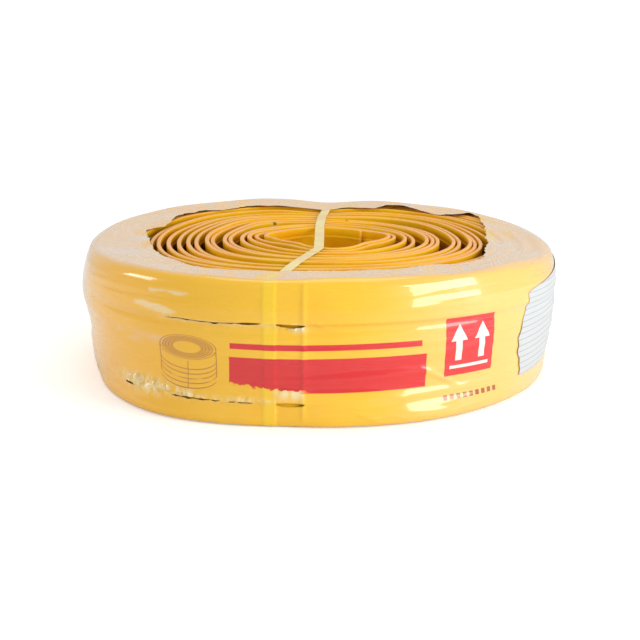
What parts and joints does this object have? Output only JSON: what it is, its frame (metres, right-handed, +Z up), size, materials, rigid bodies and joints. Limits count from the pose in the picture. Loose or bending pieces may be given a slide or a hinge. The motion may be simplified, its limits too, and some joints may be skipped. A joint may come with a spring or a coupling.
{
  "type": "pvc_waterstop",
  "caption": "Coil of yellow PVC waterstop strip, lying flat with an open bore, held by one pale strap and wrapped in printed yellow film that is torn open on top",
  "frame": {"origin": "middle of the roll's footprint on the floor", "axes": "+Z up along the roll's axis, -Y is the front with the prints, +X is the viewer's right"},
  "size_m": [0.5962, 0.5852, 0.16],
  "materials": {
    "pvc_strip": "satin flexible PVC",
    "printed_film": "glossy thin polyethylene film, printed",
    "packing_strap": "embossed translucent polypropylene",
    "label_paper": "uncoated white paper, torn at one edge"
  },
  "bodies": {
    "root": {"waterstop_coil": "pvc_strip", "film_sleeve": "printed_film", "strap": "packing_strap", "paper_label": "label_paper"}
  },
  "joints": []
}
